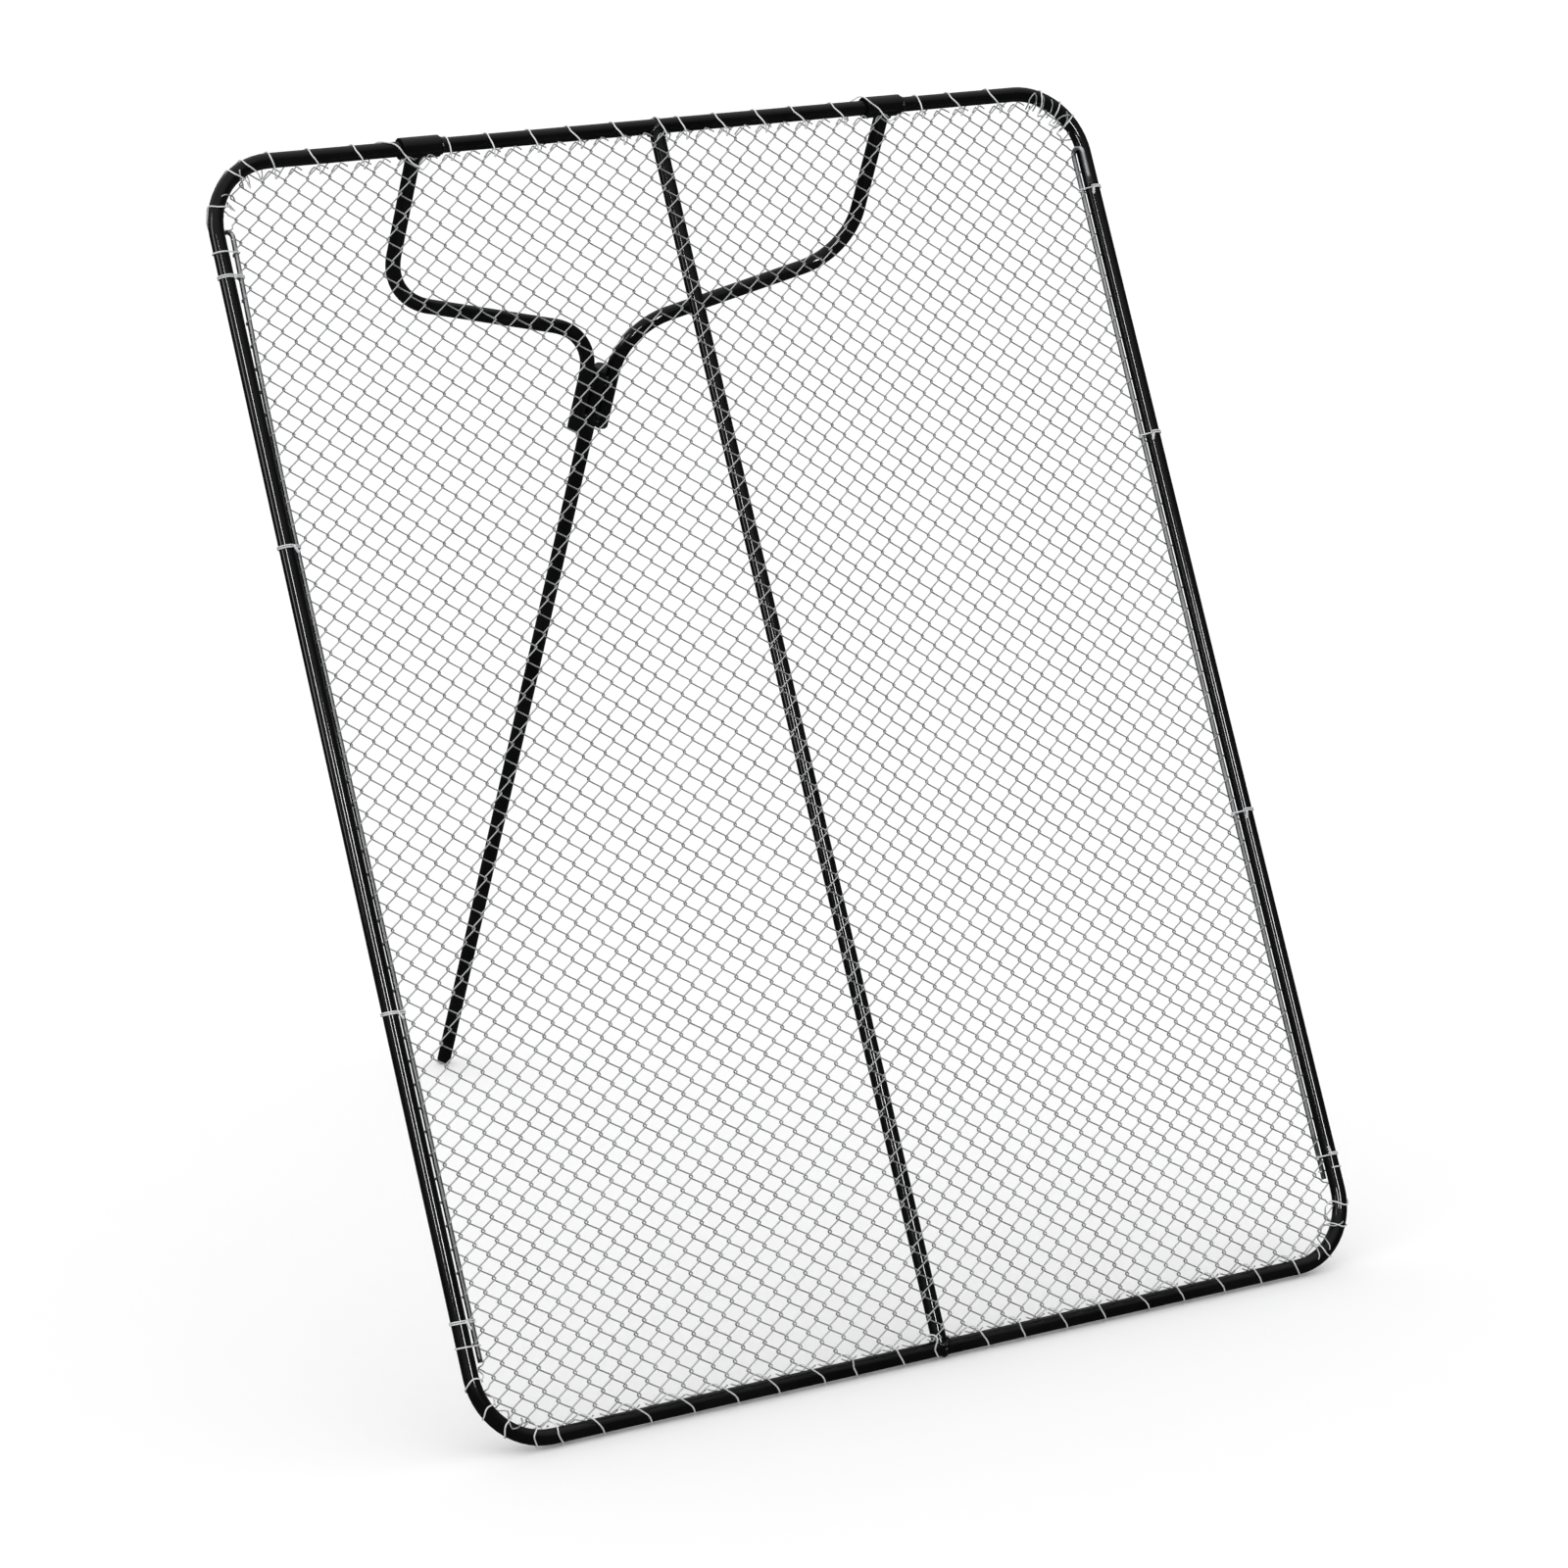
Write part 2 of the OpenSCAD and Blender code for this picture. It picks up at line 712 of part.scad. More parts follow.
frame_left_half();
frame_right_half();
frame_seam_top();
frame_seam_bottom();
centre_post();
post_weld_top();
post_weld_bottom();
sleeve_stop_left();
sleeve_stop_right();
chain_link_net();
edge_rod_left();
edge_rod_right();
rod_ties_left();
rod_ties_right();
lacing_top();
lacing_bottom();
corner_lacing_top_left();
corner_lacing_top_right();
corner_lacing_bottom_left();
corner_lacing_bottom_right();
hinge_sleeve_left();
hinge_sleeve_right();
stand_arm_left();
stand_arm_right();
arm_weld_left();
arm_weld_right();
stand_leg();
leg_weld_beads();
leg_top_plug();
foot_plug();
arm_plug_left();
arm_plug_right();
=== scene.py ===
# %% [markdown]
# # A standing wire screen
# A chain-link net is laced into a black tube frame that leans back on a hinged stand. The CAD
# solids give every tube, sleeve and plug its place. Here they get their finishes, and everything
# made of wire is woven, wound or bent again at its real fineness: the zigzag wires of the net, the
# rods up its sides, the ties, the lacing, and the rippled weld beads.

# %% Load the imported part
import json
import math

import bpy
import numpy as np
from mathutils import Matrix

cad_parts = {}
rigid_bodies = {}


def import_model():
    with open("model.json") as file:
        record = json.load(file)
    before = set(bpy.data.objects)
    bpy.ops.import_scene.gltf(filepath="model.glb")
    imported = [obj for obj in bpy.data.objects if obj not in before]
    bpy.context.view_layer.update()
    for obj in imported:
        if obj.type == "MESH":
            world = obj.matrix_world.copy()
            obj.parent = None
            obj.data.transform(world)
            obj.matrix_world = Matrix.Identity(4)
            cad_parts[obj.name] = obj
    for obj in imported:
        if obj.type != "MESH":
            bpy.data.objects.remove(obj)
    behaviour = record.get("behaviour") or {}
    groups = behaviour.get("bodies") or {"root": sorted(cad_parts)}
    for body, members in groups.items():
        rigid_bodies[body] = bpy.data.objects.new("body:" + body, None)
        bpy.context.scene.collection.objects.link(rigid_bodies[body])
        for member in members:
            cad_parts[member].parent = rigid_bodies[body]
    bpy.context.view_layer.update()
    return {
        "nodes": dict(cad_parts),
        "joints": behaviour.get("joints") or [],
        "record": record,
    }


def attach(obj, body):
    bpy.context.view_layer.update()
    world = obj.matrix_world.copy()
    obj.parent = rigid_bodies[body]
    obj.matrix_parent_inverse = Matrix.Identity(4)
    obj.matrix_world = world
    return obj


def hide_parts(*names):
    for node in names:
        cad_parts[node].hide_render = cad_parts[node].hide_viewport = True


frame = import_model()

nodes = frame["nodes"]
scene = bpy.context.scene

# %% [markdown]
# ## The panel's own ruler
# The frame leans, so nothing on it is level. A maker would lay it flat on a bench, and so does this
# cell: u runs across from the centre line, v up from the middle, w out of the front, all in
# millimetres from the axes of the rails. One function then leans a whole array of bench points up
# into the scene, which keeps every later formula flat and simple.
#
# The lean isn't typed in. The stand turns on the top rail, so the hinge gives that rail's axis, and
# the flat end of the foot faces down the leg. Panel and leg stand 50 degrees apart, so the rest of
# the half turn is the lean.

# %% Bench coordinates
RAIL_X, TOP_V, TUBE_R, BEND_R = 394.0, 494.0, 6.0, 55.0
OPEN_ANGLE = math.radians(50)
_, HINGE_Y, HINGE_Z = (1000 * k for k in frame["joints"][0]["pos_m"])
_, foot_y, foot_z = frame["record"]["mounts"][0]["axis"]
DROP = math.atan2(-foot_z, foot_y)
LEAN = math.pi - OPEN_ANGLE - DROP
RAIL_Y = HINGE_Y - 2 * TOP_V * math.cos(LEAN)
RAIL_Z = HINGE_Z - 2 * TOP_V * math.sin(LEAN)


def panel(u, v, w):
    """Leans bench points up: along the slope by v, off it by w, and from millimetres to metres."""
    u, v, w = np.broadcast_arrays(*(np.asarray(k, float) for k in (u, v, w)))
    y = RAIL_Y + (v + TOP_V) * math.cos(LEAN) - w * math.sin(LEAN)
    z = RAIL_Z + (v + TOP_V) * math.sin(LEAN) + w * math.cos(LEAN)
    return np.stack([u, y, z], -1) / 1000


def lean(direction):
    """Turns a bench direction (across, up, out) into the scene's directions."""
    a, b, c = direction
    return np.array([a, b * math.cos(LEAN) - c * math.sin(LEAN),
                     b * math.sin(LEAN) + c * math.cos(LEAN)])


def on_bench(place):
    """The other way: a place in the scene, in metres, as its u, v and w on the bench."""
    x, y, z = 1000 * np.array(place)
    y, z = y - RAIL_Y, z - RAIL_Z
    return np.array([x, y * math.cos(LEAN) + z * math.sin(LEAN) - TOP_V,
                     z * math.cos(LEAN) - y * math.sin(LEAN)])


print("lean", round(math.degrees(LEAN), 4), "top rail's axis at", panel(0, TOP_V, 0).round(4))

# %% [markdown]
# ## The camera
# A long lens from a little above and to the left, about four and a half metres away, so that the
# frame's sides stay almost parallel. The camera is tilted down by 15 degrees, and its lens is
# shifted a little besides, which moves the picture without turning the camera.

# %% Set up the camera
lens = bpy.data.cameras.new("camera")
lens.lens, lens.sensor_width = 121.6, 36
FRAME_PX, SHIFT_PX = 1600, -63
lens.shift_y = SHIFT_PX / FRAME_PX
camera = bpy.data.objects.new("camera", lens)
camera.location = (-2.0579, -3.6253, 1.5174)
camera.rotation_euler = [math.radians(k) for k in (75.1345, 0.0943, -30.8795)]
scene.collection.objects.link(camera)
scene.camera = camera
print("camera", round(camera.location.length, 2), "m away")

# %% [markdown]
# ## Wire out of arrays
# All the wire here is the same idea: a path, and a small polygon carried along it. The whole net
# is about 140 metres of wire, so the polygon has few corners and every ring of every wire is
# placed at once with array arithmetic. At each ring the polygon needs a steady "up": taking it
# from a direction that the path never runs along keeps the wire from twisting.

# %% Sweep a round section along paths
def sweep(path, radius, about, sides=8, closed=False, keep=None):
    """Rings of a tube round paths, an array of (..., points, 3) in metres.
    side = along x about, up = side x along, and a ring's corner is
    path + radius * (cos(turn) * side + sin(turn) * up), for equal turns.
    keep marks the rings that are made, in unbroken runs; runs are closed with a flat end."""
    path = np.asarray(path, float)
    path = path[None] if path.ndim == 2 else path
    many, count, _ = path.shape
    if closed:
        along = np.roll(path, -1, 1) - np.roll(path, 1, 1)
    else:
        along = np.gradient(path, axis=1)
    along /= np.linalg.norm(along, axis=-1, keepdims=True)
    side = np.cross(along, np.broadcast_to(about, path.shape))
    side /= np.linalg.norm(side, axis=-1, keepdims=True)
    up = np.cross(side, along)
    turn = np.arange(sides) * math.tau / sides
    radius = np.broadcast_to(radius, (many, count))[..., None, None]
    rings = path[:, :, None] + radius * (
        np.cos(turn)[:, None] * side[:, :, None] + np.sin(turn)[:, None] * up[:, :, None])
    index = np.arange(many * count * sides).reshape(many, count, sides)
    here, there = index, np.roll(index, -1, 1)
    if not closed:
        here, there = index[:, :-1], index[:, 1:]
    walls = np.stack([here, there, np.roll(there, -1, 2), np.roll(here, -1, 2)], -1)
    keep = np.ones((many, count), bool) if keep is None else keep
    caps = np.zeros((0, sides), int)
    if not closed:
        both = keep[:, :-1] & keep[:, 1:]
        walls = walls[both]
        gap = np.pad(keep, ((0, 0), (1, 1)))
        starts = index[gap[:, 1:-1] & ~gap[:, :-2]]
        ends = index[gap[:, 1:-1] & ~gap[:, 2:]]
        caps = np.concatenate([starts, ends[:, ::-1]])
    return rings.reshape(-1, 3), walls.reshape(-1, 4), caps


def make_piece(name, parts, material, body="screen", stands_for=()):
    """One object out of swept parts: their corners are stacked, unused ones are left out."""
    points, faces, shift = [], [], 0
    for corners, walls, caps in parts:
        points.append(corners)
        faces += (walls + shift).tolist() + (caps + shift).tolist()
        shift += len(corners)
    points = np.concatenate(points)
    used = np.zeros(len(points), bool)
    for part in faces:
        used[part] = True
    renumber = np.cumsum(used) - 1
    faces = [renumber[part].tolist() for part in faces]
    mesh = bpy.data.meshes.new(name)
    mesh.from_pydata(points[used].tolist(), [], faces)
    mesh.shade_smooth()
    mesh.materials.append(material)
    piece = bpy.data.objects.new(name, mesh)
    scene.collection.objects.link(piece)
    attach(piece, body)
    if stands_for:
        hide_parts(*stands_for)
    print(name, "faces", len(faces))
    return piece


def smooth(knots, per_span=8):
    """A curve through knots: between two knots each number follows the cubic whose slope at a
    knot is half the step from the knot before to the knot after."""
    knots = np.asarray(knots, float)
    wide = np.concatenate([2 * knots[:1] - knots[1:2], knots, 2 * knots[-1:] - knots[-2:-1]])
    a, b, c, d = wide[:-3], wide[1:-2], wide[2:-1], wide[3:]
    t = (np.arange(per_span) / per_span)[:, None, None]
    curve = b + 0.5 * t * (c - a + t * (2 * a - 5 * b + 4 * c - d + t * (3 * (b - c) + d - a)))
    return np.concatenate([curve.transpose(1, 0, 2).reshape(-1, knots.shape[1]), knots[-1:]])


# %% [markdown]
# ## Finishes
# Two finishes carry nearly the whole object. The tubes are powder coated, a thick glossy black whose
# surface has the faint waviness of an orange's skin. The wire is galvanised, a soft grey metal
# that is dull in patches. Both need the same kind of mottling, so it is one node group with its own
# values in each material.

# %% A shared mottle
def add(tree, kind, sockets=None, **settings):
    """Adds a node, sets its properties and then its sockets by name or number."""
    new = tree.nodes.new(kind)
    for key, value in settings.items():
        setattr(new, key, value)
    for key, value in (sockets or {}).items():
        new.inputs[key].default_value = value
    return new


mottle = bpy.data.node_groups.new("mottle", "ShaderNodeTree")
for title, usual in (("Fine", 900.0), ("Broad", 40.0), ("Contrast", 1.0)):
    socket = mottle.interface.new_socket(name=title, in_out="INPUT", socket_type="NodeSocketFloat")
    socket.default_value = usual
for title in ("Patches", "Grain"):
    mottle.interface.new_socket(name=title, in_out="OUTPUT", socket_type="NodeSocketFloat")
way_in, way_out = add(mottle, "NodeGroupInput"), add(mottle, "NodeGroupOutput")
place = add(mottle, "ShaderNodeTexCoord")
for title, out in (("Broad", "Patches"), ("Fine", "Grain")):
    noise = add(mottle, "ShaderNodeTexNoise", {"Detail": 3.0, "Roughness": 0.55})
    spread = add(mottle, "ShaderNodeMapRange", {"From Min": 0.3, "From Max": 0.7})
    mottle.links.new(place.outputs["Object"], noise.inputs["Vector"])
    mottle.links.new(way_in.outputs[title], noise.inputs["Scale"])
    mottle.links.new(noise.outputs["Fac"], spread.inputs["Value"])
    mottle.links.new(way_in.outputs["Contrast"], spread.inputs["To Max"])
    mottle.links.new(spread.outputs["Result"], way_out.inputs[out])
print("group", mottle.name, [s.name for s in mottle.interface.items_tree])

# %% Materials
def finish(name, dark, light, rough, fine, broad, bump, metallic=0.0, specular=0.5):
    """A material whose colour runs from dark to light with the patches, whose roughness runs
    between two values with them, and whose bump comes from the grain."""
    made = bpy.data.materials.new(name)
    made.use_nodes = True
    tree = made.node_tree
    shader = tree.nodes["Principled BSDF"]
    shader.inputs["Metallic"].default_value = metallic
    shader.inputs["Specular IOR Level"].default_value = specular
    spots = add(tree, "ShaderNodeGroup", node_tree=mottle)
    spots.inputs["Fine"].default_value, spots.inputs["Broad"].default_value = fine, broad
    ramp = add(tree, "ShaderNodeValToRGB")
    ramp.color_ramp.elements[0].color = (*dark, 1)
    ramp.color_ramp.elements[1].color = (*light, 1)
    polish = add(tree, "ShaderNodeMapRange", {"To Min": rough[0], "To Max": rough[1]})
    relief = add(tree, "ShaderNodeBump", {"Strength": bump, "Distance": 0.0002})
    for start, end in ((spots.outputs["Patches"], ramp.inputs["Fac"]),
                       (ramp.outputs["Color"], shader.inputs["Base Color"]),
                       (spots.outputs["Patches"], polish.inputs["Value"]),
                       (polish.outputs["Result"], shader.inputs["Roughness"]),
                       (spots.outputs["Grain"], relief.inputs["Height"]),
                       (relief.outputs["Normal"], shader.inputs["Normal"])):
        tree.links.new(start, end)
    return made


black_coat = finish("black_coat", (0.0022, 0.0022, 0.0024), (0.0045, 0.0045, 0.0048),
                    (0.05, 0.10), 500.0, 18.0, 0.04, specular=0.16)
weld_coat = finish("weld_coat", (0.0022, 0.0022, 0.0024), (0.006, 0.006, 0.0064), (0.2, 0.3),
                   700.0, 60.0, 0.25, specular=0.2)
plug_black = finish("plug_black", (0.012, 0.012, 0.0125), (0.018, 0.018, 0.019), (0.38, 0.5),
                    1600.0, 90.0, 0.12, specular=0.2)
mesh_zinc = finish("mesh_zinc", (0.46, 0.47, 0.48), (0.66, 0.67, 0.68), (0.22, 0.36),
                   1400.0, 35.0, 0.2, metallic=0.8)
wire_zinc = finish("wire_zinc", (0.74, 0.75, 0.76), (0.92, 0.93, 0.94), (0.22, 0.34),
                   1400.0, 60.0, 0.2, metallic=0.45)
rod_zinc = finish("rod_zinc", (0.34, 0.35, 0.36), (0.5, 0.51, 0.52), (0.2, 0.34),
                  900.0, 50.0, 0.2, metallic=1.0)
for item, node in nodes.items():
    node.material_slots[0].link = "OBJECT"
    node.material_slots[0].material = plug_black if "plug" in item else black_coat
print("finishes", [m.name for m in bpy.data.materials if m.users])

# %% [markdown]
# ## The side rods
# A straight bar is pushed up through the last bends of the outermost wire on each side, and its
# top is bent over into a hook, so that it can't slip down. The right hook stands forward of its
# rail, the left one turns away behind. The left bar has been pulled a few millimetres out of true,
# which its knots give it. The bars come before the net, because the outermost wires loop them.

# %% Bend the rods
FOLD_AT, FRONT, ROD_U, ROD_W, ROD_R = 238.7, 7.8, 384.8, -2.1, 2.0


def rod(side, knots, hook, turned, tail):
    """A smooth shank through knots of (v, u), then half a circle of width hook in the plane
    turned about the shank, and a straight tail."""
    shank = smooth([(side * u, v, ROD_W) for v, u in knots], 6)
    across = np.array([side * math.cos(turned), 0, math.sin(turned)])
    over = np.linspace(0, math.pi, 13)[1:, None]
    bow = shank[-1] + hook / 2 * (1 - np.cos(over)) * across + hook / 2 * np.sin(over) * (0, 1, 0)
    down = bow[-1] - np.linspace(0, tail, 5)[1:, None] * (0, 1, 0)
    return np.concatenate([shank, bow, down])


rods = {
    -1: rod(-1, [(-430, 382.6), (-400, 382.8), (-200, 383.4), (0, 384.0), (200, 384.6),
                 (320, 383.6), (400, 381.6), (437, 380.6)], 12, -math.radians(55), 24),
    1: rod(1, [(-430, 384.8), (-200, 384.9), (0, 384.8), (200, 384.8), (437, 384.8)],
           11, math.radians(77), 26),
}


def rod_at(side, v):
    """How far across a rod's axis lies at the height v."""
    shank = rods[side][rods[side][:, 2] == ROD_W]
    return np.interp(v, shank[:, 1], shank[:, 0])


for name, side in (("left", -1), ("right", 1)):
    part = sweep(panel(*rods[side].T), ROD_R / 1000, lean((1, 0, 0.35)), sides=16)
    make_piece(f"rod_{name}", [part], rod_zinc,
               stands_for=(f"edge_rod_{name}",))

# %% [markdown]
# ## The net
# Chain link isn't knotted or welded. Each wire is bent into a flat zigzag spiral, and each is
# screwed through its neighbour, so that they hook into each other at every bend. So the net is
# made of 82 spirals side by side, and not as a pattern on a sheet: the crossings, the small eye at
# each hook and the depth of the weave come by themselves.
#
# A spiral here is a flat race track seen from its end, two straights and two tight turns, and it
# falls steadily down the net as it goes round. Round the race track twelve rings a lap are enough,
# five for each tight turn and one in each straight, which gives it its slight bulge.
#
# A slack net also stands forward at the post and falls away beside it. Here it keeps to the flat
# middle and the two wings of the CAD form, so that nothing rubs on the tubes or the stand. Its rows
# are moved along the lines to the camera's place instead, to where the slack net would be seen. So
# the depth isn't modelled, and from other sides the rows run a few millimetres off.

# %% The weave
# A diamond's width and height, and how many wires stand side by side
CELL_W, CELL_H, WIRES = 18.80, 17.86, 82
# The wire, the mean length of a cut end, and the loops round the rods
WIRE_R, CUT_END, LOOP_R = 0.6, 8.0, 2.65
# The first and the last half row, and where the middle of the weave lies on the panel
TOP_ROW, BOTTOM_ROW, START_U, START_V = 54, -55, 1.0, 4.1
# How softly the wings fold, and the slack net's ridge, hollow and how wide the ridge is
FOLD_SOFT, RIDGE, HOLLOW, RIDGE_WIDTH = 14.0, 7.4, -4.6, 125
# The hollow fades towards the rails: from this height, over this length
FADE_FROM, FADE_OVER = 300, 190
# How far a straight of the race track stands out, in depths of the weave
BULGE = 1.15
EYE = on_bench(camera.location)


def cloth(u):
    """Depth of the net: level in front of the post and the sleeves, then two wings that lean
    back to the rods, with the fold rounded off as log(1 + exp(x)) rounds a corner."""
    past = (np.abs(u) - FOLD_AT) / FOLD_SOFT
    return FRONT - (FRONT - ROD_W) / (ROD_U - FOLD_AT) * FOLD_SOFT * np.logaddexp(0, past)


def hang(u, v):
    """Where a slack cloth would hang: a ridge at the post, falling away as
    exp(-(distance / RIDGE_WIDTH) ** 1.5) to a hollow that is least near the rails."""
    edge = HOLLOW * (1 - np.clip((np.abs(v) - FADE_FROM) / FADE_OVER, 0, 1) ** 2)
    return edge + (RIDGE - edge) * np.exp(-(np.abs(u) / RIDGE_WIDTH) ** 1.5)


def drape(a, b):
    """Puts the weave's own square coordinates on the cloth. The rows drift sideways where a
    slack cloth would lie deeper, by the distance that it would be seen to move from EYE:
    slack * (place - eye) / (eye's distance - slack). Then each place is brought on to the cloth
    along its line to EYE."""
    u, v = a + START_U, b + START_V
    slack = hang(u, v)
    u, v = (k + slack * (k - e) / (EYE[2] - slack) for k, e in ((u, EYE[0]), (v, EYE[1])))
    tight_u, tight_v = u, v
    for _ in range(4):
        w = cloth(tight_u)
        tight_u, tight_v = u + w * (EYE[0] - u) / EYE[2], v + w * (EYE[1] - v) / EYE[2]
    return tight_u, tight_v, cloth(tight_u)


BEND = np.arange(5) / 4 * math.pi
LAPS = np.arange(-29, 30)
dice = np.random.default_rng(11)


def spiral(columns):
    """Laps of a race track seen from its end. Four stretches, each given by how far across,
    how far forward and how far down it goes: a half turn of radius depth that falls by drop,
    a straight that falls by the rest of half a cell and bulges a little, and both again on
    the other side. The tension grows down the net, so the turns tighten and reach further.
    In the last bend at the top and at the bottom the wire doesn't turn: its cut end runs on."""
    gap, ring = [0], np.ones(len(BEND))
    side = np.concatenate([ring, gap, -ring, gap])
    round_off = np.concatenate([np.sin(BEND), gap, -np.sin(BEND), gap])
    forward = np.concatenate([np.cos(BEND), [-BULGE], -np.cos(BEND), [BULGE]])
    share = np.concatenate([BEND / math.pi - 0.5, gap] * 2)
    part = np.concatenate([BEND / math.pi, gap] * 2)
    down = np.concatenate([0 * ring, [0.25], 0.5 * ring, [0.75]])
    side, round_off, forward, share, part = (np.tile(k, (len(columns), len(LAPS))) for k in
                                             (side, round_off, forward, share, part))
    columns = np.asarray(columns)[:, None]
    row = -2 * (LAPS[:, None] + down).reshape(-1) - (columns + 1) % 2
    tension = np.clip(-row * CELL_H / 2 / 350, 0, 1)
    reach = CELL_W / 4 + 0.75 + 0.5 * tension
    depth, drop = 1.5 - 0.5 * tension, 3.3 - 0.5 * tension
    top, low = row == TOP_ROW, row == BOTTOM_ROW
    along = np.where(top, 1 - part, np.where(low, part, 0))
    cut = CUT_END * dice.uniform(0.75, 1.25, (len(columns), 1)) * along
    steep = np.where(top, np.where(side < 0, -0.42, -0.15), 0)
    a = (columns + 0.5) * CELL_W / 2 + side * (reach - depth + cut * np.sqrt(1 - steep ** 2))
    a += np.where(top | low, 0, depth * round_off)
    b = row * CELL_H / 2 - np.where(top, 0.5, np.where(low, -0.5, share)) * drop
    b += cut * steep + np.where(top, 2.5, -2.0) * np.sin(math.pi * along ** 0.6)
    u, v, w = drape(a, b)
    w -= np.where(top, -side, np.where(low, side, forward)) * depth
    return u, v, w, (row <= TOP_ROW) & (row >= BOTTOM_ROW), side


def hold_rod(u, v, w, side, outer):
    """Opens the outer bends of the outermost wires into loops round the rod: the half turn
    keeps its angle, but its middle moves to the rod's axis and its radius grows to LOOP_R."""
    angle = np.tile(np.concatenate([BEND, [0], BEND, [0]]), len(LAPS))
    here = side == outer
    return (np.where(here, rod_at(outer, v) + outer * LOOP_R * np.sin(angle), u), v,
            np.where(here, ROD_W - outer * LOOP_R * np.cos(angle), w))


CORNER_V, CORNER_ROOM, SIDE_ROOM = 440.0, 49.5, 26.0


def room(u):
    """How far up the net reaches: level along the rails, then round inside the corners as
    CORNER_V + sqrt(CORNER_ROOM ** 2 - past ** 2), and never less than SIDE_ROOM over it."""
    past = np.clip(np.abs(u) - (RAIL_X - BEND_R), 0, None)
    return CORNER_V + np.sqrt(np.clip(CORNER_ROOM ** 2 - past ** 2, SIDE_ROOM ** 2, None))


groups = np.array_split(np.arange(-WIRES // 2, WIRES // 2), 4)
outermost = {-1: groups[0][0], 1: groups[-1][-1]}
for number, columns in enumerate(groups):
    u, v, w, woven, side = spiral(columns)
    middle = np.broadcast_to(np.median(u, axis=1, keepdims=True), u.shape)
    for edge, outer in ((0, -1), (-1, 1)):
        if columns[edge] == outermost[outer]:
            u[edge], v[edge], w[edge] = hold_rod(u[edge], v[edge], w[edge], side[edge], outer)
    part = sweep(panel(u, v, w), WIRE_R / 1000, lean((0, 1, 0)), sides=5,
                 keep=woven & (np.abs(v) < room(middle)))
    make_piece(f"net_wires_{number + 1}", [part], mesh_zinc,
               stands_for=("chain_link_net",))

# %% [markdown]
# ## Ends at the corners
# Where the mesh is cut round a corner, its last wires come out at any angle. Whoever laced it bent
# them forward over the rail, where they lie as a small tangle. Each is laid by its angle round the
# corner: it climbs from the net on to the front of the tube, and then turns along it one way or the
# other by chance.

# %% Bend the loose ends over the rail
ON_TUBE = TUBE_R + 0.7


def loose_end(side, top, angle, turn):
    """Knots about the corner's middle, as (distance, angle, forward). On the tube's front the
    wire's own middle is at forward = sqrt(ON_TUBE ** 2 - (distance - BEND_R) ** 2)."""
    far = np.array([43.0, 46.5, 49.8, 52.6, 54.6, 55.4])
    angle = np.radians(angle + turn * np.array([0, 0.05, 0.2, 0.5, 0.8, 1.0]))
    forward = np.sqrt(ON_TUBE ** 2 - np.clip(np.abs(far - BEND_R), 0, 5) ** 2)
    forward[:2] = -1.2, 3.4
    u = side * (RAIL_X - BEND_R + far * np.cos(angle))
    v = top * (TOP_V - BEND_R + far * np.sin(angle))
    return smooth(np.stack([u, v, forward], 1), 6)


corners = {(1, 1): [30, 40, 50, 60, 68, 77], (1, -1): [38, 52, 66], (-1, -1): [44, 60],
           (-1, 1): [38, 55]}
ends = [loose_end(side, top, angle, dice.uniform(4, 9) * dice.choice([-1, 1]))
        for (side, top), angles in corners.items() for angle in angles]
make_piece("net_ends", [sweep(panel(*end.T), WIRE_R / 1000, lean((0.3, 0.2, 1)), sides=6)
                        for end in ends], mesh_zinc,
           stands_for=("chain_link_net",))

# %% [markdown]
# ## The ties
# A short wire goes twice round rail and rod together, and its two ends are twisted. Round two bars
# of different size a tight wire runs as a belt runs round two pulleys, so the path is two arcs
# joined by straights that touch both.

# %% Wind the ties
ROUND_RAIL, ROUND_ROD, TIE_PITCH, TWIST_R = TUBE_R + 0.75, ROD_R + 0.75, 1.5, 0.62


def belt(side, rod_u, rail_round, rod_round, turns, v, pitch):
    """A belt round rail and rod, climbing by pitch a turn. The straights touch both circles
    where their radius makes the angle acos((R - r) / distance) with the line of centres."""
    rod_middle, rail_middle = np.array([side * rod_u, ROD_W]), np.array([side * RAIL_X, 0.0])
    apart = np.linalg.norm(rail_middle - rod_middle)
    facing = math.atan2(*(rod_middle - rail_middle)[::-1])
    wrap = math.acos((rail_round - rod_round) / apart)
    far = facing + wrap + np.linspace(0, 1, 19) * (math.tau - 2 * wrap)
    near = facing - wrap + np.linspace(0, 1, 9) * 2 * wrap
    loop = np.concatenate([
        rod_middle + rod_round * np.stack([np.cos(near), np.sin(near)], 1),
        rail_middle + rail_round * np.stack([np.cos(far), np.sin(far)], 1)])
    path = np.concatenate([loop] * math.ceil(turns))[:int(len(loop) * turns)]
    height = v + pitch * (np.arange(len(path)) / len(loop) - turns / 2)
    return np.stack([path[:, 0], height, path[:, 1]], 1)


def tail(start, way, length, twist=5.0):
    """Two ends twisted about a common line: each a helix of radius TWIST_R about it."""
    t = np.linspace(0, 1, 25)[:, None]
    way = np.asarray(way) / np.linalg.norm(way)
    one = np.cross(way, (0.3, 0.2, 1.0))
    one /= np.linalg.norm(one)
    other = np.cross(way, one)
    angle = t * length / twist * math.tau
    line = np.asarray(start) + way * t * length
    round_it = TWIST_R * (np.cos(angle) * one + np.sin(angle) * other)
    return line + round_it, line - round_it


